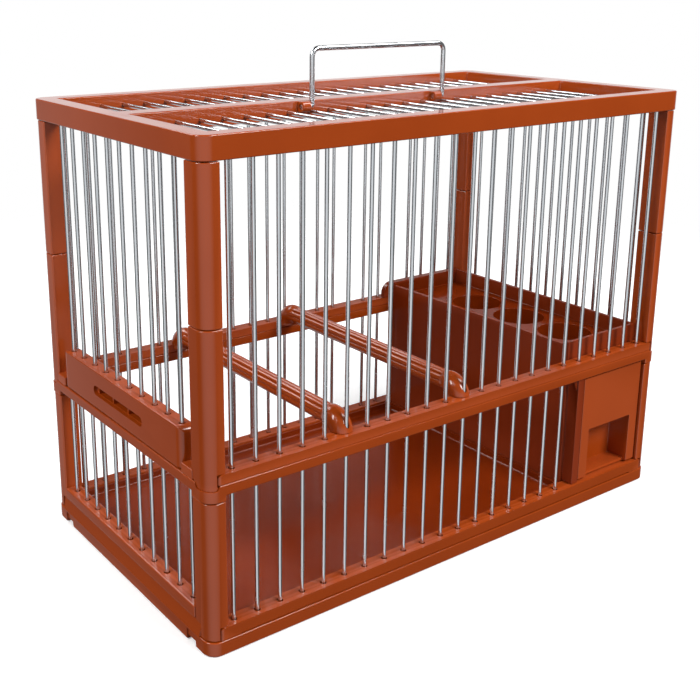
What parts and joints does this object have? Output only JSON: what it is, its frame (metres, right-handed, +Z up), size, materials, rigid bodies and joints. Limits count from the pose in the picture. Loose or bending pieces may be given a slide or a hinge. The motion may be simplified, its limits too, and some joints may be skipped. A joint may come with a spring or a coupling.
{
  "type": "bird breeding cage",
  "caption": "Tabletop breeding cage for small birds: moulded frame, steel wire walls, lifting end door, litter tray, feeder with seed wells, drawer, fluted perches and folding handle.",
  "frame": {"origin": "centre of the footprint, on the surface that the cage stands on", "axes": "+X along the cage from the door end to the feeder end, -Y towards the front with the drawer, +Z up"},
  "size_m": [0.305, 0.165, 0.2576],
  "materials": {
    "brown_plastic": "glossy moulded, reddish brown",
    "brown_plastic_inner": "glossy moulded, darker reddish brown",
    "steel_wire": "bright drawn wire"
  },
  "bodies": {
    "cage": {"base_frame": "brown_plastic", "middle_ring": "brown_plastic", "top_ring": "brown_plastic", "lower_rail_front": "brown_plastic", "lower_rail_right": "brown_plastic", "lower_rail_back": "brown_plastic", "lower_rail_left": "brown_plastic", "upper_rail_front": "brown_plastic", "upper_rail_right": "brown_plastic", "upper_rail_back": "brown_plastic", "lower_post_front_left": "brown_plastic", "lower_post_front_right": "brown_plastic", "lower_post_back_left": "brown_plastic", "lower_post_back_right": "brown_plastic", "upper_post_foot_front_left": "brown_plastic", "upper_post_foot_front_right": "brown_plastic", "upper_post_foot_back_left": "brown_plastic", "upper_post_foot_back_right": "brown_plastic", "upper_post_head_front_left": "brown_plastic", "upper_post_head_front_right": "brown_plastic", "upper_post_head_back_left": "brown_plastic", "upper_post_head_back_right": "brown_plastic", "feeder_housing": "brown_plastic_inner"},
    "tray": {"litter_tray": "brown_plastic_inner"},
    "door": {"end_door": "brown_plastic"},
    "drawer": {"feeder_drawer": "brown_plastic"},
    "handle": {"carry_handle": "steel_wire"},
    "perch_left": {"perch_left": "brown_plastic"},
    "perch_right": {"perch_right": "brown_plastic"}
  },
  "joints": [
    {"name": "tray_slide", "type": "slide", "parent": "cage", "child": "tray", "axis": [-1, 0, 0], "range_m": [0, 0.22]},
    {"name": "door_lift", "type": "slide", "parent": "cage", "child": "door", "axis": [0, 0, 1], "range_m": [0, 0.006]},
    {"name": "drawer_slide", "type": "slide", "parent": "cage", "child": "drawer", "axis": [0, -1, 0], "range_m": [0, 0.12]},
    {"name": "handle_fold", "type": "hinge", "parent": "cage", "child": "handle", "pos_m": [0, -0.0083, 0.2283], "axis": [1, 0, 0], "range_deg": [0, 90]},
    {"name": "perch_left_lift", "type": "slide", "parent": "cage", "child": "perch_left", "axis": [0, 0, 1], "range_m": [0, 0.05]},
    {"name": "perch_right_lift", "type": "slide", "parent": "cage", "child": "perch_right", "axis": [0, 0, 1], "range_m": [0, 0.05]}
  ]
}
